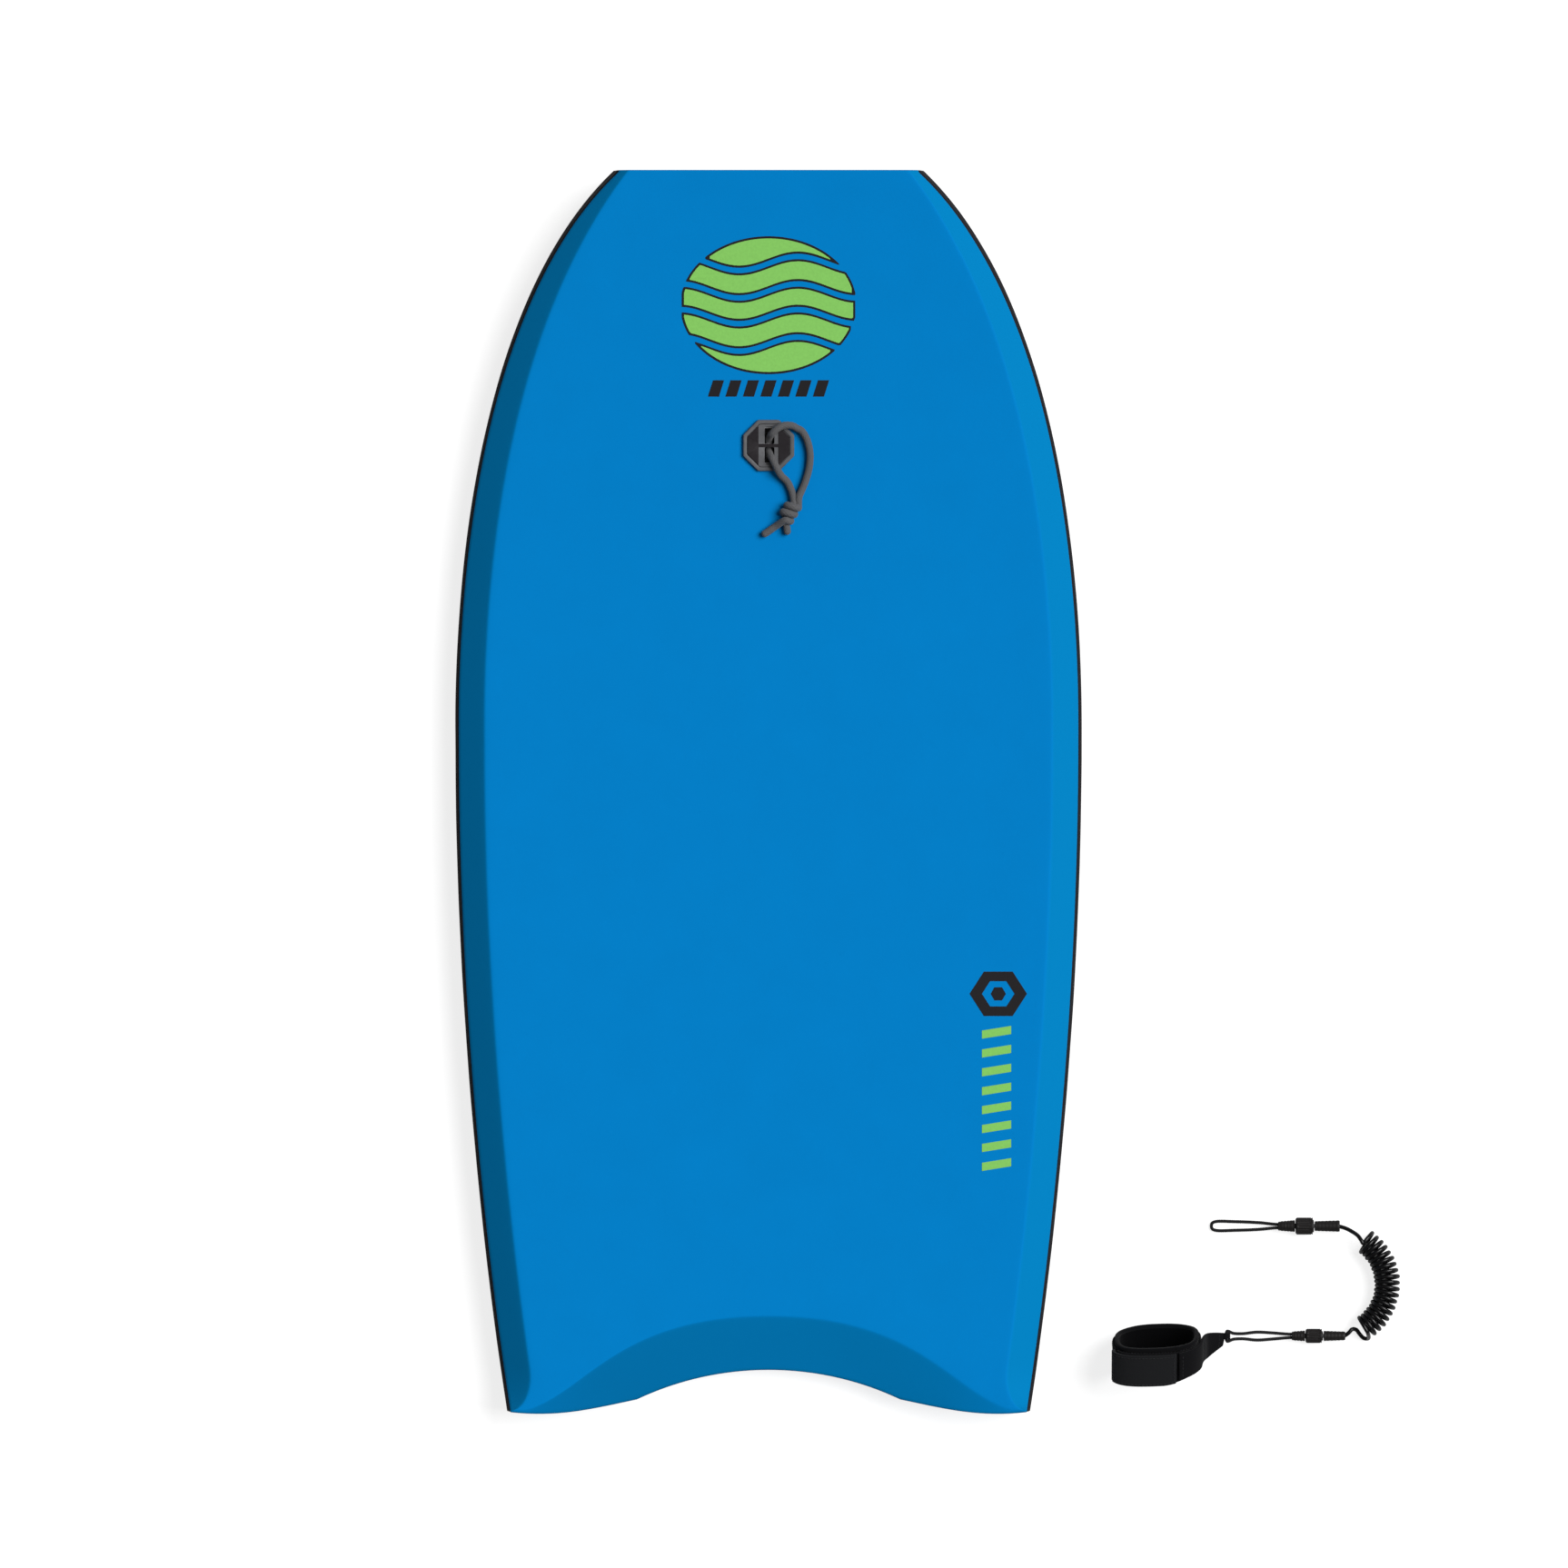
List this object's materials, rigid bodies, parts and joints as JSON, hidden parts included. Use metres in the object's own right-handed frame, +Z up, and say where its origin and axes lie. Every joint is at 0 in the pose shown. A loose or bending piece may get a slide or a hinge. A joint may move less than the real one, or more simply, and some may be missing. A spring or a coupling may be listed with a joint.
{
  "type": "bodyboard",
  "caption": "Crescent-tail foam bodyboard with hard slick, chined rails, leash plug and knotted cord, and a coiled wrist leash lying beside it.",
  "frame": {"origin": "on the flat slick bottom, on the centreline, at half of the board's length", "axes": "+Y along the board towards the nose, +Z up out of the deck, +X to the right seen from above, where the leash lies"},
  "size_m": [0.8114, 1.0663, 0.081],
  "materials": {
    "deck_foam": "fine-pored closed-cell foam skin",
    "core_foam": "bare closed-cell foam",
    "slick": "smooth hard sheet",
    "rail_foam": "fine-pored closed-cell foam strip",
    "carbon_tube": "smooth tube",
    "moulded_black": "satin moulding",
    "plug_grey": "satin moulding",
    "plug_black": "satin moulding",
    "cord_grey": "braided sheath",
    "neoprene": "knit-faced neoprene",
    "webbing": "woven tape",
    "hook_and_loop": "brushed loops and hooks",
    "string_black": "braided sheath",
    "urethane": "smooth, glossy",
    "steel": "turned stainless"
  },
  "bodies": {
    "board": {"deck_skin": "deck_foam", "foam_core": "core_foam", "slick_skin": "slick", "rail_upper_left": "rail_foam", "rail_lower_left": "rail_foam", "rail_upper_right": "rail_foam", "rail_lower_right": "rail_foam", "nose_bumper": "deck_foam", "tail_bumper": "deck_foam", "stringer_tube": "carbon_tube", "stringer_cap_nose": "moulded_black", "stringer_cap_tail": "moulded_black", "plug_ring": "plug_grey", "plug_insert": "plug_black", "plug_base": "plug_grey", "plug_cord_bight": "cord_grey"},
    "plug_cord": {"plug_cord_loop": "cord_grey"},
    "cuff": {"cuff_pad": "neoprene", "cuff_strap": "webbing", "cuff_loop_patch": "hook_and_loop", "cuff_tongue": "webbing", "cuff_string": "string_black", "sleeve_a_string": "moulded_black", "swivel_a_housing": "moulded_black", "swivel_a_collar": "moulded_black"},
    "cuff_flap": {"cuff_flap": "webbing", "cuff_hook_patch": "hook_and_loop"},
    "coil_end_a": {"swivel_a_pin": "steel", "sleeve_a_coil": "moulded_black", "coil_cord": "urethane"},
    "coil_end_b": {"swivel_b_pin": "steel", "sleeve_b_coil": "moulded_black"},
    "board_end": {"swivel_b_housing": "moulded_black", "swivel_b_collar": "moulded_black", "sleeve_b_string": "moulded_black", "board_loop": "string_black"}
  },
  "joints": [
    {"name": "plug_cord_lift", "type": "hinge", "parent": "board", "child": "plug_cord", "pos_m": [0.028, 0.31047, 0.06618], "axis": [-0.3714, -0.9274, -0.0458], "range_deg": [0, 85]},
    {"name": "leash_lift", "type": "slide", "parent": "board", "child": "cuff", "axis": [0, 0, 1], "range_m": [0, 0.3]},
    {"name": "cuff_flap_peel", "type": "hinge", "parent": "cuff", "child": "cuff_flap", "pos_m": [0.29723, -0.49011, 0.0528], "axis": [0, -0.9272, -0.3746], "range_deg": [0, 110]},
    {"name": "swivel_a_spin", "type": "hinge", "parent": "cuff", "child": "coil_end_a", "pos_m": [0.4684, -0.4669, 0.0066], "axis": [1, 0, 0], "continuous": true},
    {"name": "coil_stretch", "type": "slide", "parent": "coil_end_a", "child": "coil_end_b", "axis": [0, 1, 0], "range_m": [0, 0.6], "deforming": ["coil_cord"]},
    {"name": "swivel_b_spin", "type": "hinge", "parent": "coil_end_b", "child": "board_end", "pos_m": [0.4602, -0.3725, 0.0077], "axis": [1, 0, 0], "continuous": true}
  ]
}
